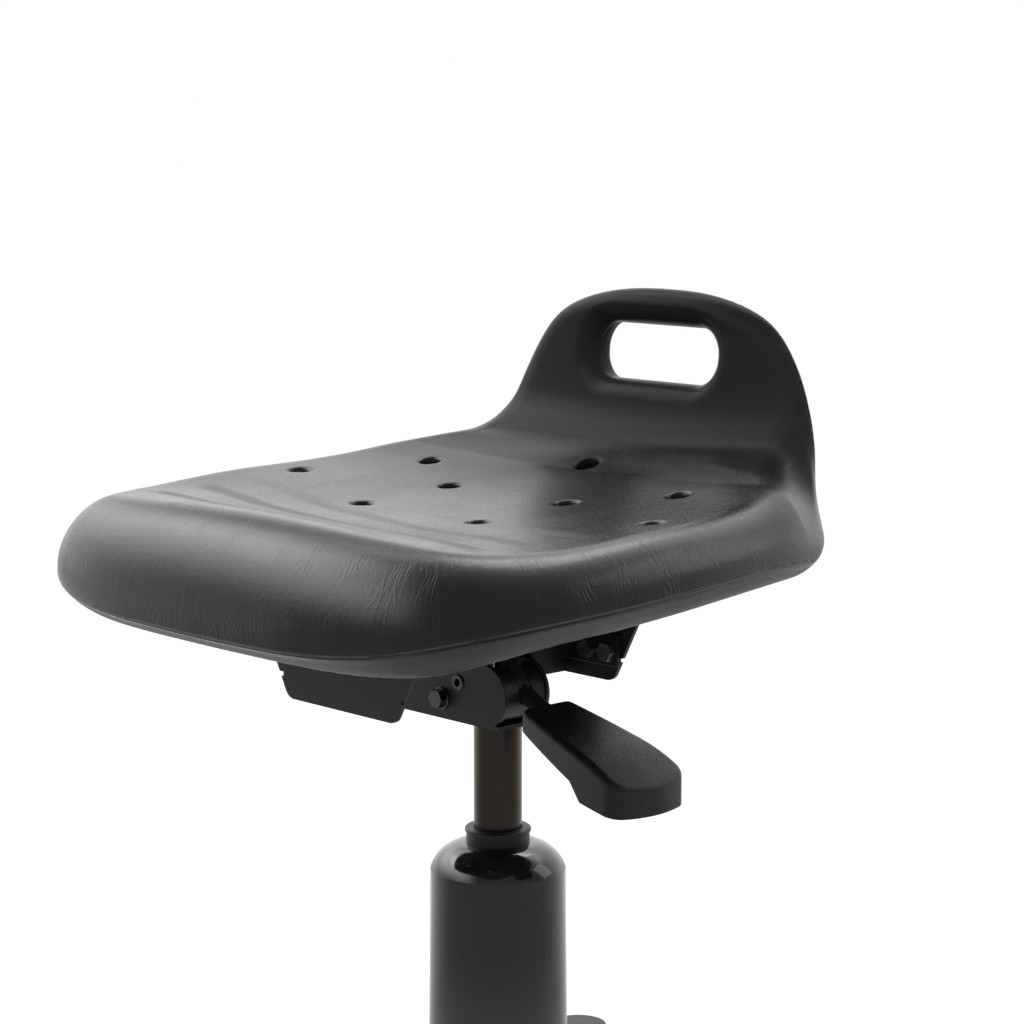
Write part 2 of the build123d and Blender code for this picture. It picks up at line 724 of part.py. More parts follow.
def make_bearing():
    """Ball bearing on the column's floor, the bump ring above it and the clip below."""
    neck_bore = neck_radius + running_gap
    lower = sleeve(race_radius, neck_bore, race_low, race_low + race_thickness)
    upper = sleeve(race_radius, neck_bore, race_high, rod_shoulder)
    track = (race_radius + neck_radius) / 2
    ball = Sphere(ball_diameter / 2 - fit_gap)
    balls = []
    for number in range(ball_count):
        angle = 2 * pi * number / ball_count
        balls.append(Pos(track * cos(angle), track * sin(angle), ball_low + ball_diameter / 2) * ball)
    bump = sleeve(race_radius, rod_radius + fit_gap, rod_shoulder, bump_top)
    washer_low = column_bottom - race_thickness
    washer = sleeve(clip_radius, neck_bore, washer_low, column_bottom)
    clip = sleeve(clip_radius, neck_radius - clip_thickness / 2 + fit_gap, washer_low - clip_thickness,
                  washer_low)
    clip -= block(0, clip_radius + cut_over, -neck_radius / 2, neck_radius / 2,
                  washer_low - clip_thickness - cut_over, washer_low + cut_over)
    return {"bearing_washer_lower": lower, "bearing_balls": Compound(balls), "bearing_washer_upper": upper,
            "bump_ring": bump, "clip_washer": washer, "retaining_clip": clip}


def make_column():
    """Outer tube, guide bush, domed cover and wiper collar."""
    taper_top = column_bottom + column_taper_length
    taper_foot = column_radius - column_taper
    floor_hole = neck_radius + running_gap
    floor_top = column_bottom + column_floor
    tube = turned((floor_hole, column_bottom), (taper_foot, column_bottom), (column_radius, taper_top),
                  (column_radius, column_top), (column_bore, column_top), (column_bore, floor_top),
                  (floor_hole, floor_top))
    bush_bore = gas_radius + running_gap
    bush_radius = column_bore - fit_gap
    bush_low = column_top - bush_length
    bush_top = column_top + bush_flange
    bush = turned((bush_bore, bush_low), (bush_radius, bush_low), (bush_radius, column_top),
                  (column_radius, column_top), (column_radius, bush_top), (bush_bore, bush_top))
    neck = collar_bore + collar_wall + fit_gap
    shoulder_z = cover_top - cover_shoulder_drop
    under = cover_top - cover_wall
    crown = collar_radius - collar_lip / 2
    cover_face = make_face([
        Polyline((neck, under), (neck, cover_top), (crown, cover_top)),
        TangentArc((crown, cover_top), (cover_shoulder_radius, shoulder_z), tangent=(1, 0)),
        Polyline((cover_shoulder_radius, shoulder_z), (cover_base_radius, hub_top),
                 (cover_base_radius - cover_wall, hub_top), (cover_shoulder_radius - cover_wall, shoulder_z)),
        TangentArc((crown, under), (cover_shoulder_radius - cover_wall, shoulder_z), tangent=(1, 0)),
        Line((crown, under), (neck, under)),
    ])
    cover = revolve(Plane.XZ * cover_face, Axis.Z)
    lip = collar_radius + collar_lip
    lip_low = collar_top - collar_lip_height
    spigot = collar_bore + collar_wall
    collar = turned((collar_bore, cover_top - collar_spigot), (spigot, cover_top - collar_spigot),
                    (spigot, cover_top), (collar_radius, cover_top), (collar_radius, lip_low), (lip, lip_low),
                    (lip, collar_top - collar_lip), (lip - collar_lip, collar_top), (collar_bore, collar_top))
    return {"column_tube": tube, "guide_bush": bush, "column_cover": cover, "wiper_collar": collar}


def leg_shell(inset):
    """One leg along +X, or the hollow under it, smaller all round by an inset."""
    mid_reach = base_reach / 2
    stations = [
        (leg_root, leg_root_lift, leg_root_width, leg_root_height),
        (mid_reach, leg_mid_lift, leg_mid_width, leg_mid_height),
        (base_reach, 0, leg_end_width, leg_end_height),
    ]
    sections = []
    for reach, lift, width, height in stations:
        low = hub_bottom + lift - (cut_over if inset else 0)
        high = hub_bottom + lift + height - inset
        plane = Plane(origin=(reach, 0, (low + high) / 2), x_dir=(0, 1, 0), z_dir=(1, 0, 0))
        sections.append(plane * RectangleRounded(width - 2 * inset, high - low, leg_edge - inset / 2))
    return loft(sections)


def make_base():
    """Moulded five-leg base with ribbed legs, and the stems that the castors turn on."""
    leg_start = hub_radius + leg_wall
    leg_stop = base_reach - leg_end_radius - leg_wall
    hollow = leg_shell(leg_wall) & block(leg_start, leg_stop, -hub_radius, hub_radius, 0, hub_top)
    bay = (leg_stop - leg_start) / (rib_count + 1)
    for number in range(rib_count):
        middle = leg_start + bay * (number + 1)
        hollow -= block(middle - leg_rib / 2, middle + leg_rib / 2, -hub_radius, hub_radius, 0, hub_top)
    leg = leg_shell(0) - hollow
    leg += post(leg_end_radius, castor_height, castor_height + leg_end_depth, base_reach)
    leg -= post(stem_radius + fit_gap, castor_height - cut_over, castor_height + stem_length + fit_gap,
                base_reach)
    hub = fillet(post(hub_radius, hub_bottom, hub_top).edges().sort_by(Axis.Z)[-1], hub_edge)
    base = hub + [Rot(0, 0, angle) * leg for angle in leg_angles]
    taper_top = column_bottom + column_taper_length
    foot = column_radius - column_taper + fit_gap
    bore = column_radius + fit_gap
    base -= turned((0, hub_bottom - cut_over), (foot, hub_bottom - cut_over), (foot, column_bottom),
                   (bore, taper_top), (bore, hub_top + cut_over), (0, hub_top + cut_over))
    flange_low = castor_height - stem_flange
    stem = post(stem_radius, castor_height, castor_height + stem_length, base_reach)
    stem += post(stem_flange_radius, flange_low, castor_height, base_reach)
    stem += post(pintle_radius, flange_low - pintle_length, flange_low, base_reach)
    return {"star_base": base, "castor_stems": Compound([Rot(0, 0, angle) * stem for angle in leg_angles])}


def make_castor():
    """One twin-wheel castor on the +X leg: body, axle and wheels."""
    top = castor_height - stem_flange - free_gap
    axle_x = base_reach + castor_trail
    web_half = web_width / 2
    wheel_near = web_half + free_gap
    wheel_far = wheel_near + wheel_width
    hood_inner = wheel_radius + hood_gap
    hood_outer = hood_inner + hood_wall
    hood = crossbar(hood_outer, axle_x, wheel_radius, -wheel_far, wheel_far)
    hood -= crossbar(hood_inner, axle_x, wheel_radius, -wheel_far - cut_over, wheel_far + cut_over)
    hood -= block(0, 2 * base_reach, -base_reach, base_reach, -base_reach, wheel_radius + hood_skirt)
    web = crossbar(hood_inner + hood_wall / 2, axle_x, wheel_radius, -web_half, web_half)
    web -= block(0, 2 * base_reach, -base_reach, base_reach, -base_reach, wheel_radius)
    body = hood + web + crossbar(web_radius, axle_x, wheel_radius, -web_half, web_half)
    pintle_low = castor_height - stem_flange - pintle_length
    body += post(boss_radius, pintle_low - hood_wall, top, base_reach)
    body -= post(pintle_radius + running_gap, pintle_low - free_gap, castor_height, base_reach)
    body -= crossbar(axle_radius + running_gap, axle_x, wheel_radius, -wheel_far, wheel_far)
    wheel = crossbar(wheel_radius, axle_x, wheel_radius, wheel_near, wheel_far)
    wheel = fillet(wheel.edges().filter_by(GeomType.CIRCLE), wheel_edge)
    wheel -= crossbar(wheel_dish_radius, axle_x, wheel_radius, wheel_far - wheel_dish_depth,
                      wheel_far + cut_over)
    wheel -= crossbar(axle_radius + fit_gap, axle_x, wheel_radius, 0, wheel_far + cut_over)
    axle_half = wheel_far - wheel_dish_depth
    axle = crossbar(axle_radius, axle_x, wheel_radius, -axle_half, axle_half)
    return {"castor_body": body, "castor_axle": axle,
            "castor_wheels": Compound([wheel, mirror(wheel, Plane.XZ)])}


def make_nodes():
    """Every node of the stool by name."""
    nodes = {}
    for maker in (make_seat, make_plate, make_channel, make_end_cap, make_lever, make_gas_spring, make_bearing,
                  make_column, make_base):
        nodes.update(maker())
    castor = make_castor()
    for number, angle in enumerate(leg_angles, start=1):
        for name, piece in castor.items():
            nodes[f"{name}_{number}"] = Rot(0, 0, angle) * piece
    return nodes


os.makedirs("parts", exist_ok=True)
for node, solid in make_nodes().items():
    export_step(solid, f"parts/{node}.step")
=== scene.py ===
import json
from math import radians

import bpy
import numpy as np
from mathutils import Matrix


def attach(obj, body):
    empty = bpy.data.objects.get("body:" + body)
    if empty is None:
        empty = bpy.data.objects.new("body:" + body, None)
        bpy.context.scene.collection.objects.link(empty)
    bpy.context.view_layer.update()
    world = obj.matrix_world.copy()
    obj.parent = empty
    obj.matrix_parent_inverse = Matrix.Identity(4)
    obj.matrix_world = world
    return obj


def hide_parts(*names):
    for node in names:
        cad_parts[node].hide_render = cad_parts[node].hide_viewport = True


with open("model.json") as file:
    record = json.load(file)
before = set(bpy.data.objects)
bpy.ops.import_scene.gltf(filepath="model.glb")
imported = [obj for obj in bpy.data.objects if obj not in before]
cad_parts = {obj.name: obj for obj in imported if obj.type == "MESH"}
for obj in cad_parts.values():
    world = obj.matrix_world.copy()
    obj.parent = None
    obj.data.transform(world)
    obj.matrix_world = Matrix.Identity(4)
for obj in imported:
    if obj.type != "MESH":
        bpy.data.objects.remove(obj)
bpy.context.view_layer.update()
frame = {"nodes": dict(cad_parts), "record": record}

# Seat, in millimetres: the parting curve in the middle plane is a line, a bend and the back
SEAT_SLOPE = radians(3.5)
BACK_SLOPE = radians(84.0)
FRONT_Y = -220.0
PARTING_Z = 476.0
BEND_Y = 65.5
BEND_RADIUS = 70.0
BEND_START = (BEND_Y - FRONT_Y) / np.cos(SEAT_SLOPE)
BACK_START = BEND_START + BEND_RADIUS * (BACK_SLOPE - SEAT_SLOPE)

# Sizes along the parting curve, as (distance from the front, millimetres)
HALF_WIDTH = [(2, 0), (2.6, 45), (5, 88), (12, 126), (28, 161), (55, 183), (92, 193), (145, 195.5),
              (230, 190), (275, 181), (306, 168), (329, 153.5), (352, 139), (375, 125.5), (392, 117),
              (408, 109), (420, 101.5), (429, 94), (437, 84), (443.5, 70), (448.5, 52), (452, 28), (453, 0)]
TOP = [(0, 40), (25, 42), (48, 41.5), (70, 36), (90, 30.5), (115, 25.5), (160, 22), (220, 21.5),
       (262, 24.5), (295, 29), (325, 29), (355, 22.5), (385, 16), (420, 14.5), (460, 14.5)]
BOTTOM = [(0, -24), (12, -26), (28, -25), (50, -19.5), (85, -14), (130, -13), (240, -13), (280, -16),
          (310, -19), (340, -17), (385, -14.5), (460, -14.5)]
PARTING = [(0, -17.5), (25, -7), (50, -2), (80, 0), (150, 0), (235, 0), (268, -3), (300, -7), (325, -6),
           (355, -2), (385, 0), (460, 0)]
TOP_RADIUS = [(0, 44), (30, 44), (70, 36), (120, 28), (220, 27), (270, 29), (300, 33), (335, 30),
              (365, 22), (390, 16), (460, 15)]
SKIRT_RADIUS = [(0, 16), (60, 14), (280, 14), (310, 18), (340, 25), (362, 24), (390, 17), (460, 15)]
SKIRT_POWER = 1.35
# Rise of the top at SIDE_RISE_X from the middle plane
SIDE_RISE = [(0, -9), (45, -8), (80, -2), (120, 3), (160, 5), (240, 4.5), (280, 5), (330, 6), (385, 0),
             (460, 0)]
SIDE_RISE_X = 148.0
# Fall of the front of the back at BACK_CROWN_X from the middle plane and beyond
BACK_CROWN = [(0, 0), (300, 0), (325, 1), (360, 5), (400, 8.5), (460, 8.5)]
BACK_CROWN_X = 110.0
# Inset of the rim at the rear: none at REAR_TUCK_HEIGHT above the parting curve, whole REAR_TUCK_FADE lower
REAR_TUCK = [(0, 0), (150, 0), (250, 0), (285, 0), (305, 0), (320, 2), (335, 6.5), (350, 8), (368, 4),
             (388, 0), (420, 0), (460, 0)]
REAR_TUCK_HEIGHT = 8.0
REAR_TUCK_FADE = 14.0

# Belly under the seat and the pocket in it for the seat board
BELLY_Z = 433.0
BELLY_TOP = 466.0
BELLY_HEIGHT = 5.0
BELLY_END = 345.0
BELLY_HALF = (81.0, 100.0)
BELLY_MIDDLE = -45.0
BELLY_CORNER = 25.0
BELLY_FLARE = 1.68
BELLY_BLEND = 14.0
BELLY_FADE = 8.0
LEAST_BLEND = 0.04
POCKET_HALF = (76.3, 95.3)
POCKET_CORNER = 20.3
POCKET_Z = 445.3

# Vents, as (x, y) in the row frame, and the hand-hold, along the parting curve
VENTS = [(49.3, -59.5), (-49.3, -59.5), (148, -26), (-148, -26), (49, 7), (-49, 7), (104, 40), (-104, 40),
         (0, 72)]
VENT_RADIUS = 6.5
VENT_LIP = 1.3
VENT_REACH = 12.0
VENTS_END = 330.0
HAND_START = 370.0
HAND_MIDDLE = 414.25
HAND_HALF = (50.0, 16.75)
HAND_CORNER = 16.0
HAND_LIP = 13.0

# Sampling of the seat: splines, rim, the table of distances from the rim and the grid of the mesh
CURVE_PLACES = np.linspace(-20, 480, 2001)
RIM_STEP = 2.0
TABLE_STEP = 1.5
TABLE_HALF = 207.0
TABLE_SPAN = (-14.0, 470.0)
SEAT_STEP = 2.0
GRID_HALF = 203.0
GRID_SPAN = (-8.0, 462.0)
GRID_RISE = (-58.0, 54.0)
SURFACE_MOVES = 3
FAR_AWAY = 500.0
MILLIMETRES_PER_METRE = 1000

# Level directions from the stool: towards the camera, and to the two lamps that show in reflections
ROOM_SIDE = (0.735, -0.678, 0.0)
LAMP_SIDE = (-0.848, -0.530, 0.0)
BACK_SIDE = (-0.342, 0.940, 0.0)

# What the floor adds to its own light for the camera, and the level of the surroundings in matt surfaces
FLOOR_GLOW = 0.68
SURROUND_LEVEL = 0.6

# Camera worked out from the photograph
PHOTO_SIZE = 1024
PHOTO_FOCAL = 2700
CAMERA_PLACE = (1.1213, -1.0345, 0.7125)
CAMERA_AZIMUTH = 47.0
CAMERA_ELEVATION = 8.323
SENSOR_WIDTH = 36.0


def curve(keys, t):
    """Natural cubic spline through (place, value) pairs."""
    keys = np.asarray(keys, float)
    place, value = keys[:, 0], keys[:, 1]
    gap = np.diff(place)
    size = len(place)
    system = np.eye(size)
    right = np.zeros(size)
    for i in range(1, size - 1):
        system[i, i - 1:i + 2] = gap[i - 1], 2 * (gap[i - 1] + gap[i]), gap[i]
        right[i] = 6 * ((value[i + 1] - value[i]) / gap[i] - (value[i] - value[i - 1]) / gap[i - 1])
    bend = np.linalg.solve(system, right)
    t = np.clip(t, place[0], place[-1])
    i = np.clip(np.searchsorted(place, t, side="right") - 1, 0, size - 2)
    after, before = place[i + 1] - t, t - place[i]
    arch = (bend[i] * after ** 3 + bend[i + 1] * before ** 3) / (6 * gap[i])
    low = (value[i] / gap[i] - bend[i] * gap[i] / 6) * after
    high = (value[i + 1] / gap[i] - bend[i + 1] * gap[i] / 6) * before
    return arch + low + high


def tabled(keys, t):
    """The same spline read from a fine table, for many points."""
    return np.interp(t, CURVE_PLACES, curve(keys, CURVE_PLACES))


def spine(v):
    """Point (y, z) and normal (y, z) of the parting curve at a distance from the front."""
    angle = SEAT_SLOPE + np.clip((v - BEND_START) / BEND_RADIUS, 0, BACK_SLOPE - SEAT_SLOPE)
    flat = np.minimum(v, BEND_START)
    rise = np.maximum(v - BACK_START, 0)
    y = FRONT_Y + flat * np.cos(SEAT_SLOPE) + BEND_RADIUS * (np.sin(angle) - np.sin(SEAT_SLOPE))
    z = PARTING_Z + FRONT_Y * np.tan(SEAT_SLOPE) + flat * np.sin(SEAT_SLOPE)
    z = z + BEND_RADIUS * (np.cos(SEAT_SLOPE) - np.cos(angle))
    return y + rise * np.cos(BACK_SLOPE), z + rise * np.sin(BACK_SLOPE), -np.sin(angle), np.cos(angle)


def to_row(points):
    """Points given as side, distance along the parting curve and height above it, in the row frame."""
    x, v, n = points.T
    y, z, ny, nz = spine(v)
    return np.stack([x, y + n * ny, z + n * nz], 1)


def rim_points():
    """Rim of the seat seen square to the parting curve."""
    keys = np.array(HALF_WIDTH, float)
    run = np.concatenate([[0], np.cumsum(np.hypot(np.diff(keys[:, 0]), np.diff(keys[:, 1])))])
    s = np.arange(0, run[-1], RIM_STEP)
    x = curve(np.c_[run, keys[:, 1]], s)
    v = curve(np.c_[run, keys[:, 0]], s)
    return np.vstack([np.c_[x, v], np.c_[-x, v][::-1]])


def rim_distance(px, pv):
    """Signed distance from the rim, negative inside, and the run along the rim to the nearest place."""
    rim = rim_points()
    after = np.roll(rim, -1, axis=0)
    best = np.full(px.shape, 1e18)
    run = np.zeros(px.shape)
    inside = np.zeros(px.shape, bool)
    walked = 0.0
    for (ax, av), (bx, bv) in zip(rim, after):
        ex, ev = bx - ax, bv - av
        length = ex * ex + ev * ev
        if length < 1e-9:
            continue
        t = np.clip(((px - ax) * ex + (pv - av) * ev) / length, 0, 1)
        square = (px - ax - t * ex) ** 2 + (pv - av - t * ev) ** 2
        run = np.where(square < best, walked + t * np.sqrt(length), run)
        best = np.minimum(best, square)
        if ev:
            crosses = (av > pv) != (bv > pv)
            inside ^= crosses & (px < ax + (pv - av) * ex / ev)
        walked += np.sqrt(length)
    far = np.sqrt(best)
    return np.where(inside, -far, far), run


def round_max(p, q, a, b, power=2.0):
    """Rounded intersection of two fields, with radii a and b. A power near 1 is a plain bevel."""
    u = np.maximum(p / a + 1, 0)
    w = np.maximum(q / b + 1, 0)
    curved = (u ** power + w ** power) ** (1 / power) - 1
    return np.where((u > 0) & (w > 0), curved, np.maximum(p / a, q / b)) * np.minimum(a, b)


def blend_min(p, q, radius):
    """Union of two fields with a fillet."""
    mix = np.clip(0.5 + 0.5 * (q - p) / radius, 0, 1)
    return q + (p - q) * mix - radius * mix * (1 - mix)


def rounded_box(x, y, half, corner):
    """Signed distance from a rectangle with rounded corners."""
    dx = np.abs(x) - half[0] + corner
    dy = np.abs(y) - half[1] + corner
    outside = np.hypot(np.maximum(dx, 0), np.maximum(dy, 0))
    return outside + np.minimum(np.maximum(dx, dy), 0) - corner


class Seat:
    """The moulded seat as a field over side, distance along the parting curve and height above it."""

    def __init__(self):
        self.sides = np.arange(-TABLE_HALF, TABLE_HALF + TABLE_STEP, TABLE_STEP)
        self.places = np.arange(TABLE_SPAN[0], TABLE_SPAN[1] + TABLE_STEP, TABLE_STEP)
        grid_x, grid_v = np.meshgrid(self.sides, self.places, indexing="ij")
        self.rim = rim_distance(grid_x, grid_v)[0]

    def rim_at(self, x, v):
        """Signed distance from the rim, read from the table."""
        i = np.clip((x - self.sides[0]) / TABLE_STEP, 0, len(self.sides) - 1.001)
        j = np.clip((v - self.places[0]) / TABLE_STEP, 0, len(self.places) - 1.001)
        i0, j0 = i.astype(int), j.astype(int)
        fi, fj = i - i0, j - j0
        near = (1 - fj) * self.rim[i0, j0] + fj * self.rim[i0, j0 + 1]
        far = (1 - fj) * self.rim[i0 + 1, j0] + fj * self.rim[i0 + 1, j0 + 1]
        return (1 - fi) * near + fi * far

    def pad(self, x, v, n):
        """The pad and the back with its hand-hold, without the belly."""
        d = self.rim_at(x, v) + tabled(REAR_TUCK, v) * np.clip((REAR_TUCK_HEIGHT - n) / REAR_TUCK_FADE, 0, 1)
        part = tabled(PARTING, v)
        top = tabled(TOP, v) + tabled(SIDE_RISE, v) * (x / SIDE_RISE_X) ** 2
        top = top - tabled(BACK_CROWN, v) * np.clip(np.abs(x) / BACK_CROWN_X, 0, 1) ** 2
        bottom = tabled(BOTTOM, v)
        upper = round_max(d, n - top, tabled(TOP_RADIUS, v), top - part)
        lower = round_max(d, bottom - n, tabled(SKIRT_RADIUS, v), part - bottom, SKIRT_POWER)
        pad = np.where(n > part, upper, lower)
        hand_x = np.where(v > HAND_START, x, FAR_AWAY)
        hand = rounded_box(hand_x, v - HAND_MIDDLE, HAND_HALF, HAND_CORNER)
        return round_max(pad, -hand, HAND_LIP, HAND_LIP)

    def field(self, x, v, n):
        """The whole seat, negative inside."""
        y, z, ny, nz = spine(v)
        y = y + n * ny
        z = z + n * nz
        pad = self.pad(x, v, n)
        spread = rounded_box(x, y - BELLY_MIDDLE, BELLY_HALF, BELLY_CORNER) - BELLY_FLARE * (z - BELLY_Z)
        belly = np.maximum(np.maximum(spread / np.hypot(1, BELLY_FLARE), z - BELLY_TOP), n - BELLY_HEIGHT)
        fillet = BELLY_BLEND * np.clip((tabled(PARTING, v) - n) / BELLY_FADE, LEAST_BLEND, 1)
        whole = np.where(v < BELLY_END, blend_min(pad, belly, fillet), pad)
        whole = np.maximum(whole, BELLY_Z - z)
        pocket = np.maximum(rounded_box(x, y - BELLY_MIDDLE, POCKET_HALF, POCKET_CORNER), z - POCKET_Z)
        whole = np.maximum(whole, -pocket)
        for hole_x, hole_y in VENTS:
            hole = np.hypot(x - hole_x, y - hole_y) - VENT_RADIUS
            near = (hole < VENT_REACH) & (v < VENTS_END)
            whole = np.where(near, round_max(whole, -hole, VENT_LIP, VENT_LIP), whole)
        return whole

    def slope(self, points):
        """Field and its gradient at points."""
        e = 0.4
        x, v, n = points.T
        across = self.field(x + e, v, n) - self.field(x - e, v, n)
        along = self.field(x, v + e, n) - self.field(x, v - e, n)
        up = self.field(x, v, n + e) - self.field(x, v, n - e)
        return self.field(x, v, n), np.stack([across, along, up], 1) / (2 * e)


def surface_nets(field, origin, step):
    """Vertices and quads of the zero surface of a sampled field."""
    inside = field < 0
    shape = field.shape
    corners = [(i, j, k) for i in (0, 1) for j in (0, 1) for k in (0, 1)]
    cells = [inside[i:shape[0] - 1 + i, j:shape[1] - 1 + j, k:shape[2] - 1 + k] for i, j, k in corners]
    count = sum(cell.astype(np.int8) for cell in cells)
    active = (count > 0) & (count < 8)
    cell_at = np.argwhere(active)
    index = -np.ones(active.shape, np.int64)
    index[active] = np.arange(len(cell_at))
    total = np.zeros((len(cell_at), 3))
    number = np.zeros(len(cell_at))
    for axis in range(3):
        others = [q for q in range(3) if q != axis]
        for a in (0, 1):
            for b in (0, 1):
                start = np.zeros(3, int)
                start[others[0]], start[others[1]] = a, b
                stop = start.copy()
                stop[axis] = 1
                f0 = field[tuple((cell_at + start).T)]
                f1 = field[tuple((cell_at + stop).T)]
                hit = (f0 < 0) != (f1 < 0)
                t = np.where(hit, f0 / np.where(hit, f0 - f1, 1), 0)
                point = start + t[:, None] * np.eye(3)[axis]
                total[hit] += point[hit]
                number[hit] += 1
    points = origin + (cell_at + total / number[:, None]) * step
    quads = []
    for axis in range(3):
        e1 = np.eye(3, dtype=int)[(axis + 1) % 3]
        e2 = np.eye(3, dtype=int)[(axis + 2) % 3]
        before = [slice(1, -1)] * 3
        after = [slice(1, -1)] * 3
        before[axis] = slice(0, -1)
        after[axis] = slice(1, None)
        crossing = np.argwhere(inside[tuple(before)] != inside[tuple(after)])
        flip = inside[tuple(before)][tuple(crossing.T)]
        base = crossing + 1
        base[:, axis] -= 1
        ring = (base - e1 - e2, base - e2, base, base - e1)
        quad = np.stack([index[tuple(cell.T)] for cell in ring], axis=1)
        quad[~flip] = quad[~flip][:, ::-1]
        quads.append(quad)
    return points, np.vstack(quads)


def seat_points(seat):
    """Points and quads of the seat's surface, drawn onto the field in a few short moves."""
    sides = np.arange(-GRID_HALF, GRID_HALF + SEAT_STEP, SEAT_STEP)
    places = np.arange(GRID_SPAN[0], GRID_SPAN[1] + SEAT_STEP, SEAT_STEP)
    heights = np.arange(GRID_RISE[0], GRID_RISE[1] + SEAT_STEP, SEAT_STEP)
    field = np.empty((len(sides), len(places), len(heights)))
    grid_v, grid_n = np.meshgrid(places, heights, indexing="ij")
    for i, side in enumerate(sides):
        field[i] = seat.field(np.full(grid_v.shape, side), grid_v, grid_n)
    points, quads = surface_nets(field, np.array([sides[0], places[0], heights[0]]), SEAT_STEP)
    for _ in range(SURFACE_MOVES):
        value, slope = seat.slope(points)
        move = -(value / ((slope * slope).sum(1) + 1e-6))[:, None] * slope
        length = np.linalg.norm(move, axis=1, keepdims=True)
        points = points + move * np.minimum(1, 0.5 * SEAT_STEP / (length + 1e-9))
    return points, quads


def make_seat():
    """Mesh of the moulded seat, with its places along the rim and over the seat kept for the skin."""
    points, quads = seat_points(Seat())
    mesh = bpy.data.meshes.new("seat_cushion")
    mesh.from_pydata((to_row(points) / MILLIMETRES_PER_METRE).tolist(), [], quads.tolist())
    mesh.polygons.foreach_set("use_smooth", np.ones(len(mesh.polygons), bool))
    rim, run = rim_distance(points[:, 0], points[:, 1])
    above = points[:, 2] - tabled(PARTING, points[:, 1])
    edge = mesh.attributes.new("edge", "FLOAT_VECTOR", "POINT")
    run = np.minimum(run, run.max() - run)
    edge.data.foreach_set("vector", (np.stack([run, rim, above], 1) / MILLIMETRES_PER_METRE).ravel())
    spread = mesh.attributes.new("spread", "FLOAT_VECTOR", "POINT")
    spread.data.foreach_set("vector", (points / MILLIMETRES_PER_METRE).ravel())
    mesh.update()
    cushion = bpy.data.objects.new("seat_cushion", mesh)
    bpy.context.scene.collection.objects.link(cushion)
    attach(cushion, "seat")
    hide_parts("seat_foam")
    return cushion


class Nodes:
    """A node tree and short calls that add to it."""

    def __init__(self, tree):
        self.tree = tree

    def add(self, kind, inputs=None, **settings):
        node = self.tree.nodes.new(kind)
        for key, value in settings.items():
            setattr(node, key, value)
        for key, value in (inputs or {}).items():
            self.feed(node.inputs[key], value)
        return node

    def feed(self, socket, value):
        """Links an output to a socket, or sets a plain value there."""
        if isinstance(value, bpy.types.NodeSocket):
            self.tree.links.new(value, socket)
        else:
            socket.default_value = value

    def math(self, operation, first, second=0.0):
        return self.add("ShaderNodeMath", {0: first, 1: second}, operation=operation).outputs[0]

    def map(self, value, low, high, to_low, to_high, kind="LINEAR"):
        inputs = {"Value": value, "From Min": low, "From Max": high, "To Min": to_low, "To Max": to_high}
        return self.add("ShaderNodeMapRange", inputs, interpolation_type=kind).outputs["Result"]

    def dot(self, vector, axis):
        inputs = {0: vector, 1: axis}
        return self.add("ShaderNodeVectorMath", inputs, operation="DOT_PRODUCT").outputs["Value"]


class Finish(Nodes):
    """A material and short calls for its textures."""

    def __init__(self, name, color, roughness, metallic=0.0, specular=0.5, coat=0.0, coat_roughness=0.1):
        self.material = bpy.data.materials.new(name)
        self.material.use_nodes = True
        super().__init__(self.material.node_tree)
        self.shader = self.tree.nodes["Principled BSDF"]
        self.set("Base Color", (*color, 1))
        self.set("Roughness", roughness)
        self.set("Metallic", metallic)
        self.set("Specular IOR Level", specular)
        self.set("Coat Weight", coat)
        self.set("Coat Roughness", coat_roughness)
        self.bumps = None
        self.place = self.add("ShaderNodeTexCoord").outputs["Object"]

    def set(self, socket, value):
        self.feed(self.shader.inputs[socket], value)

    def stretched(self, scale, place=None):
        inputs = {0: place or self.place, 1: scale}
        return self.add("ShaderNodeVectorMath", inputs, operation="MULTIPLY").outputs[0]

    def noise(self, scale, detail, roughness, place=None):
        inputs = {"Vector": place or self.place, "Scale": scale, "Detail": detail, "Roughness": roughness}
        return self.add("ShaderNodeTexNoise", inputs).outputs["Fac"]

    def cells(self, scale, place=None, feature="F1"):
        inputs = {"Vector": place or self.place, "Scale": scale}
        return self.add("ShaderNodeTexVoronoi", inputs, feature=feature).outputs["Distance"]

    def tint(self, factor, first, second):
        """Colour between two colours, the first of which may come from another node."""
        node = self.add("ShaderNodeMix", {0: factor}, data_type="RGBA")
        self.feed(node.inputs[6], first if isinstance(first, bpy.types.NodeSocket) else (*first, 1))
        self.feed(node.inputs[7], (*second, 1))
        return node.outputs[2]

    def bump(self, height, distance, strength):
        """Lays a bump over those that are there."""
        inputs = {"Height": height, "Distance": distance, "Strength": strength}
        if self.bumps:
            inputs["Normal"] = self.bumps
        self.bumps = self.add("ShaderNodeBump", inputs).outputs["Normal"]
        self.set("Normal", self.bumps)

    def attribute(self, name):
        return self.add("ShaderNodeAttribute", attribute_name=name).outputs["Vector"]

    def split(self, vector):
        return self.add("ShaderNodeSeparateXYZ", {0: vector}).outputs


def mixed(color, other, part):
    """A colour part of the way to another."""
    return tuple(a + (b - a) * part for a, b in zip(color, other))


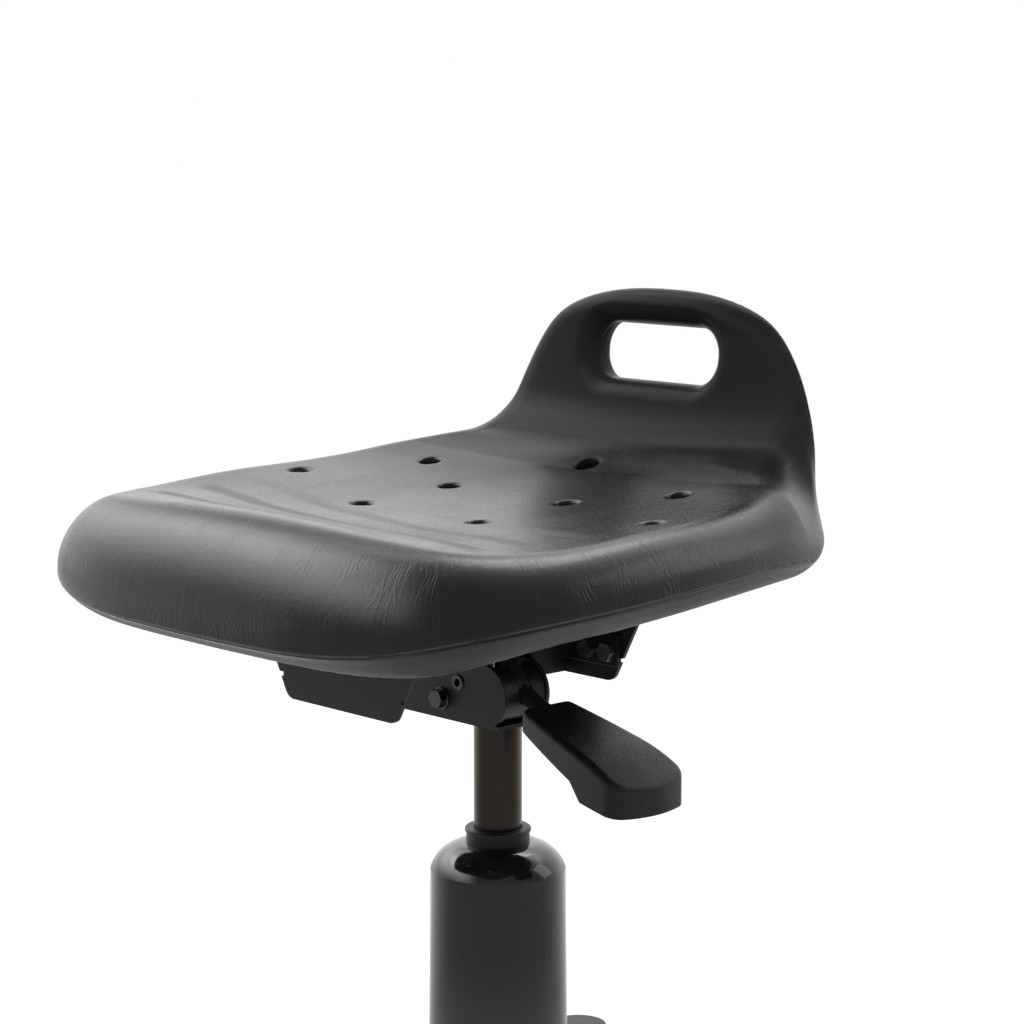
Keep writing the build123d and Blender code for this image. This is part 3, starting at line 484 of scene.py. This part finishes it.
def seat_skin():
    """Satin black moulded skin: pebbled grain, hair lines across the rim and the mould's parting line."""
    skin = Finish("seat_skin", (0.0095, 0.0095, 0.0102), 0.32, specular=0.55)
    # Places in metres: distance from the rim, negative inside, height above the parting line, and the
    # two ways over the seat
    edge = skin.attribute("edge")
    spread = skin.attribute("spread")
    _, rim, above = skin.split(edge)
    side, along, _ = skin.split(spread)

    # Grain, weaker below the parting line, and hair lines across the rim of the seat but not of the back
    pebbles = skin.cells(640, spread, "SMOOTH_F1")
    fine = skin.noise(2600, 2, 0.6, spread)
    warp = skin.add("ShaderNodeTexNoise", {"Vector": edge, "Scale": 40.0, "Detail": 2.0}).outputs["Color"]
    shift = skin.stretched((0.012, 0.012, 0.012), warp)
    bent = skin.add("ShaderNodeVectorMath", {0: edge, 1: shift}, operation="ADD").outputs[0]
    hair = skin.cells(1.0, skin.stretched((330, 42, 42), bent), "DISTANCE_TO_EDGE")
    thin = skin.map(hair, 0.0, 0.10, 1, 0)
    some = skin.map(skin.noise(60, 2, 0.5, edge), 0.40, 0.62, 0, 1)
    near_rim = skin.math("MULTIPLY", skin.map(rim, -0.075, -0.020, 0, 1), skin.map(along, 0.27, 0.32, 1, 0))
    lines = skin.math("MULTIPLY", skin.math("MULTIPLY", thin, some), near_rim)
    upper = skin.map(above, -0.006, 0.0, 0.2, 1)
    skin.bump(skin.math("MULTIPLY", pebbles, upper), 0.0005, 0.07)
    skin.bump(skin.math("MULTIPLY", fine, upper), 0.00012, 0.10)
    skin.bump(skin.math("MULTIPLY", lines, upper), 0.00016, 0.42)

    # Groove of the parting line
    seam = skin.map(skin.math("ABSOLUTE", above), 0.0003, 0.0012, 1, 0)
    outside = skin.map(rim, -0.030, -0.020, 0, 1)
    groove = skin.math("MULTIPLY", seam, outside)
    skin.bump(skin.math("MULTIPLY", groove, -1.0), 0.0008, 0.8)

    # Colour: clouded, with painted light that makes the flat of the back greyer and painted shade that makes
    # the groove black
    cloud = skin.noise(26, 2, 0.5, spread)
    shade = skin.tint(skin.map(cloud, 0.35, 0.7, 0, 1), (0.0080, 0.0080, 0.0086), (0.0115, 0.0115, 0.0120))
    # Painted light: a greyer band over the flat of the back, fading towards its top, stands in for the light
    # it catches
    lightened = skin.math("MULTIPLY", skin.map(along, 0.32, 0.38, 0, 1), skin.map(along, 0.425, 0.445, 1, 0.2))
    shade = skin.tint(lightened, shade, (0.036, 0.036, 0.0365))
    # Painted shade: the groove of the parting line is coloured near black
    skin.set("Base Color", skin.tint(groove, shade, (0.003, 0.003, 0.003)))

    # Satin, with dull streaks across the crown and along the top of the front roll, and matt underneath
    place = skin.math("ADD", along, skin.math("MULTIPLY", side, 0.16))
    wander = skin.math("ADD", place, skin.math("MULTIPLY", skin.noise(9, 2, 0.5, spread), 0.018))
    wave = skin.math("SINE", skin.math("MULTIPLY", wander, 185.0))
    crown = skin.math("MULTIPLY", skin.map(along, 0.045, 0.07, 0, 1), skin.map(along, 0.11, 0.17, 1, 0))
    crown = skin.math("MULTIPLY", crown, skin.map(rim, -0.055, -0.040, 1, 0))
    dull = skin.math("MULTIPLY", skin.map(wave, 0.1, 0.9, 0, 0.16), crown)
    satin = skin.map(skin.math("ADD", pebbles, cloud), 0.6, 1.5, 0.22, 0.32)
    matt = skin.map(above, -0.006, -0.001, 0.22, 0)
    skin.set("Roughness", skin.math("ADD", skin.math("ADD", satin, dull), matt))

    # Less reflection over the rear of the seat and the back, and in a band along the front roll
    inner = skin.math("MULTIPLY", skin.map(along, 0.15, 0.30, 0, 1), skin.map(rim, -0.130, -0.020, 1, 0))
    dim = skin.math("MAXIMUM", inner, skin.map(along, 0.24, 0.345, 0, 1))
    band = skin.math("MULTIPLY", skin.map(rim, -0.043, -0.033, 0, 1), skin.map(rim, -0.031, -0.021, 1, 0))
    valley = skin.math("MULTIPLY", band, skin.map(along, 0.05, 0.08, 0.7, 0))
    level = skin.math("MULTIPLY", skin.map(dim, 0, 1, 0.55, 0.035), skin.math("SUBTRACT", 1.0, valley))
    skin.set("Specular IOR Level", level)
    return skin.material


def powder_coat(name, color, roughness):
    """Baked powder on steel: orange peel, fine texture and slightly worn tone."""
    coat = Finish(name, color, roughness, specular=0.38)
    peel = coat.noise(420, 2, 0.4)
    grit = coat.noise(2600, 3, 0.6)
    patch = coat.noise(22, 4, 0.6)
    coat.bump(peel, 0.00022, 0.35)
    coat.bump(grit, 0.00008, 0.35)
    lightened = mixed(color, (0.10, 0.10, 0.10), 0.10)
    coat.set("Base Color", coat.tint(coat.map(patch, 0.35, 0.7, 0, 1), color, lightened))
    coat.set("Roughness", coat.map(patch, 0.3, 0.7, roughness - 0.06, roughness + 0.08))
    return coat.material


def moulded(name, color, roughness, grain=900.0, depth=0.00025, specular=0.45):
    """Textured moulded plastic with a little handling shine."""
    plastic = Finish(name, color, roughness, specular=specular)
    spark = plastic.cells(grain)
    fine = plastic.noise(grain * 2.2, 2, 0.6)
    rub = plastic.noise(35, 4, 0.6)
    plastic.bump(spark, depth, 0.35)
    plastic.bump(fine, depth * 0.5, 0.3)
    rubbed = mixed(color, (0.12, 0.12, 0.12), 0.08)
    plastic.set("Base Color", plastic.tint(plastic.map(rub, 0.35, 0.7, 0, 1), color, rubbed))
    plastic.set("Roughness", plastic.map(rub, 0.3, 0.75, roughness - 0.08, roughness + 0.08))
    return plastic.material


def plated(name, color, roughness):
    """Plated or machined metal with fine drawn lines and a clouded tone."""
    metal = Finish(name, color, roughness, metallic=1.0)
    lines = metal.noise(1, 3, 0.6, metal.stretched((160, 160, 1900)))
    cloud = metal.noise(90, 3, 0.55)
    metal.bump(lines, 0.00008, 0.35)
    metal.set("Base Color", metal.tint(cloud, mixed(color, (0.05, 0.05, 0.05), 0.18), color))
    metal.set("Roughness", metal.map(lines, 0.25, 0.75, roughness - 0.07, roughness + 0.10))
    return metal.material


def lacquered_tube():
    """Dark burnished tube of the gas spring, with drawn lines."""
    tube = Finish("tube_lacquer", (0.055, 0.049, 0.044), 0.26, metallic=1.0)
    drawn = tube.noise(1, 3, 0.6, tube.stretched((700, 700, 12)))
    cloud = tube.noise(60, 3, 0.5)
    tube.bump(drawn, 0.00005, 0.3)
    tube.set("Base Color", tube.tint(cloud, (0.046, 0.041, 0.037), (0.064, 0.057, 0.051)))
    tube.set("Roughness", tube.map(drawn, 0.25, 0.75, 0.20, 0.34))
    return tube.material


def polished_cover():
    """Polished plastic cover with faint mould waves, fine scuffs and dust."""
    black = (0.010, 0.010, 0.0105)
    cover = Finish("gloss_cover", black, 0.13, specular=0.55, coat=0.3, coat_roughness=0.05)
    waves = cover.noise(34, 2, 0.5)
    scuffs = cover.noise(1, 4, 0.7, cover.stretched((260, 260, 1400)))
    dust = cover.noise(1700, 2, 0.6)
    cover.bump(waves, 0.0004, 0.10)
    cover.set("Roughness", cover.map(scuffs, 0.55, 0.8, 0.10, 0.26))
    cover.set("Base Color", cover.tint(cover.map(dust, 0.62, 0.78, 0, 1), black, (0.026, 0.026, 0.026)))
    return cover.material


def plywood():
    """Birch plywood: long grain on the faces and the plies on the edges."""
    wood = Finish("plywood", (0.42, 0.28, 0.15), 0.6)
    grain = wood.noise(1, 4, 0.6, wood.stretched((420, 26, 900)))
    rings = wood.noise(1, 2, 0.5, wood.stretched((60, 5, 700)))
    tone = wood.math("ADD", wood.math("MULTIPLY", grain, 0.6), wood.math("MULTIPLY", rings, 0.4))
    dark = wood.map(tone, 0.35, 0.65, 0, 1)
    wood.set("Base Color", wood.tint(dark, (0.46, 0.31, 0.17), (0.28, 0.16, 0.08)))
    wood.bump(grain, 0.00025, 0.4)
    return wood.material


def rubber():
    """Moulded rubber with a faint bloom."""
    ring = Finish("seal_rubber", (0.012, 0.012, 0.012), 0.7, specular=0.35)
    bloom = ring.map(ring.noise(120, 4, 0.6), 0.4, 0.75, 0, 1)
    ring.bump(ring.noise(1900, 2, 0.6), 0.0001, 0.4)
    ring.set("Base Color", ring.tint(bloom, (0.011, 0.011, 0.011), (0.024, 0.023, 0.022)))
    return ring.material


FINISHES = {
    "seat_skin": seat_skin(),
    "plywood": plywood(),
    "zinc_steel": plated("zinc_steel", (0.42, 0.43, 0.44), 0.32),
    "black_steel": powder_coat("black_steel", (0.0095, 0.0095, 0.0100), 0.44),
    "dark_bolt": plated("dark_bolt", (0.11, 0.11, 0.112), 0.36),
    "black_plastic": moulded("black_plastic", (0.0085, 0.0085, 0.0090), 0.42, specular=0.38),
    "tube_lacquer": lacquered_tube(),
    "bright_alloy": plated("bright_alloy", (0.55, 0.56, 0.57), 0.3),
    "chromed_rod": plated("chromed_rod", (0.62, 0.63, 0.65), 0.12),
    "seal_rubber": rubber(),
    "base_nylon": moulded("base_nylon", (0.013, 0.013, 0.014), 0.48, grain=650.0, depth=0.0003),
    "bush_plastic": moulded("bush_plastic", (0.62, 0.60, 0.54), 0.4, grain=1400.0, depth=0.0001),
    "gloss_cover": polished_cover(),
    "castor_plastic": moulded("castor_plastic", (0.012, 0.012, 0.0125), 0.42, grain=800.0),
    "wheel_tread": moulded("wheel_tread", (0.016, 0.016, 0.017), 0.5, grain=1100.0),
}
PRESSED = ("seat_plate", "mechanism_channel", "rear_rail", "cross_bolt", "wall_rivet", "cross_washers")
BROKEN_EDGE = 0.0005
SHARP_ANGLE = radians(40)


def break_edges(name):
    """Breaks the sharp edges of a pressed or turned piece."""
    shown = frame["nodes"][name]
    weld = shown.modifiers.new("weld", "WELD")
    weld.merge_threshold = 0.00001
    bevel = shown.modifiers.new("edges", "BEVEL")
    bevel.width = BROKEN_EDGE
    bevel.segments = 2
    bevel.limit_method = "ANGLE"
    bevel.angle_limit = SHARP_ANGLE
    bevel.use_clamp_overlap = True
    bevel.harden_normals = True


def make_floor():
    """Pale floor, white to the camera, that shows in reflections beside the stool and behind it."""
    bpy.ops.mesh.primitive_plane_add(size=30)
    floor = bpy.context.object
    floor.name = "floor"
    paper = Finish("paper", (0.55, 0.55, 0.55), 0.9, specular=0.0)
    paper.set("Emission Color", (1, 1, 1, 1))
    ray = paper.add("ShaderNodeLightPath").outputs
    to_camera = paper.dot(paper.place, ROOM_SIDE)
    from_axis = paper.add("ShaderNodeVectorMath", {0: paper.place}, operation="LENGTH").outputs["Value"]
    behind = paper.map(to_camera, -0.8, 0.0, 0.55, 0.0)
    beside = paper.map(from_axis, 0.15, 0.8, 0.9, 0.0)
    mirrored = paper.math("MULTIPLY", ray["Is Glossy Ray"], paper.math("MAXIMUM", behind, beside))
    direct = paper.math("MULTIPLY", ray["Is Camera Ray"], FLOOR_GLOW)
    paper.set("Emission Strength", paper.math("ADD", direct, mirrored))
    floor.data.materials.append(paper.material)


def make_world():
    """White surroundings. Reflections show a backdrop, a dim room, two lamps and a gap by the first."""
    world = bpy.data.worlds.new("studio")
    bpy.context.scene.world = world
    world.use_nodes = True
    sky = Nodes(world.node_tree)
    surround = sky.tree.nodes["Background"]
    surround.inputs["Color"].default_value = (1, 1, 1, 1)
    ray = sky.add("ShaderNodeLightPath").outputs
    way = sky.add("ShaderNodeTexCoord").outputs["Generated"]
    height = sky.dot(way, (0, 0, 1))

    def step(value, *span):
        return sky.map(value, *span, kind="SMOOTHSTEP")

    def patch(towards, spread, rise, strength):
        """A broad patch high on one side, which fades in over a spread about that side and over a rise."""
        across = step(sky.dot(way, towards), *spread, 0, strength)
        return sky.math("MULTIPLY", across, step(height, *rise, 0, 1))

    gap = patch(LAMP_SIDE, (0.12, 0.34), (0.40, 0.50), 0.35)
    room = step(sky.dot(way, ROOM_SIDE), -0.80, 0.30, 1.3, 0.28)
    backdrop = sky.math("MULTIPLY", room, sky.math("SUBTRACT", 1.0, gap))
    lamps = sky.math("ADD", patch(LAMP_SIDE, (0.28, 0.88), (0.14, 0.70), 3.8),
                     patch(BACK_SIDE, (0.45, 0.65), (0.55, 0.75), 1.2))
    plain = sky.math("MAXIMUM", ray["Is Camera Ray"], ray["Is Transmission Ray"])
    others = sky.math("SUBTRACT", 1.0, plain)
    mirrored = sky.math("MULTIPLY", ray["Is Glossy Ray"], others)
    diffuse = sky.math("SUBTRACT", others, mirrored)
    level = sky.math("ADD", plain, sky.math("MULTIPLY", mirrored, sky.math("ADD", backdrop, lamps)))
    level = sky.math("ADD", level, sky.math("MULTIPLY", diffuse, SURROUND_LEVEL))
    sky.feed(surround.inputs["Strength"], level)


def softbox(name, place, target, size, power):
    """Rectangular lamp facing a point."""
    lamp = bpy.data.lights.new(name, "AREA")
    lamp.shape = "RECTANGLE"
    lamp.size, lamp.size_y = size
    lamp.energy = power
    holder = bpy.data.objects.new(name, lamp)
    bpy.context.scene.collection.objects.link(holder)
    holder.location = place
    x, y, z = (b - a for a, b in zip(place, target))
    holder.rotation_euler = (np.arctan2(np.hypot(x, y), -z), 0, np.arctan2(y, x) - np.pi / 2)
    holder.visible_camera = False


def make_camera():
    """Camera at the photograph's view."""
    camera = bpy.data.cameras.new("camera")
    camera.sensor_width = SENSOR_WIDTH
    camera.lens = PHOTO_FOCAL / PHOTO_SIZE * SENSOR_WIDTH
    camera.clip_end = 100
    holder = bpy.data.objects.new("camera", camera)
    bpy.context.scene.collection.objects.link(holder)
    holder.location = CAMERA_PLACE
    holder.rotation_euler = (radians(90 - CAMERA_ELEVATION), 0, radians(CAMERA_AZIMUTH))
    bpy.context.scene.camera = holder


for subpart in frame["record"]["subparts"]:
    node_object = frame["nodes"][subpart["node"]]
    node_object.data.materials.clear()
    node_object.data.materials.append(FINISHES[subpart["material_slot"]])
cushion = make_seat()
cushion.data.materials.append(FINISHES["seat_skin"])
for pressed in PRESSED:
    break_edges(pressed)

make_floor()
make_world()
softbox("key", (-1.6, -0.5, 2.2), (0, 0, 0.45), (1.4, 1.2), 5)
softbox("rim", (-0.85, 0.80, 2.3), (0, 0, 0.5), (1.7, 0.9), 10)
softbox("fill", (1.2, 1.6, 1.5), (0, 0, 0.45), (0.9, 1.2), 4)
make_camera()
bpy.context.scene.view_settings.view_transform = "Standard"
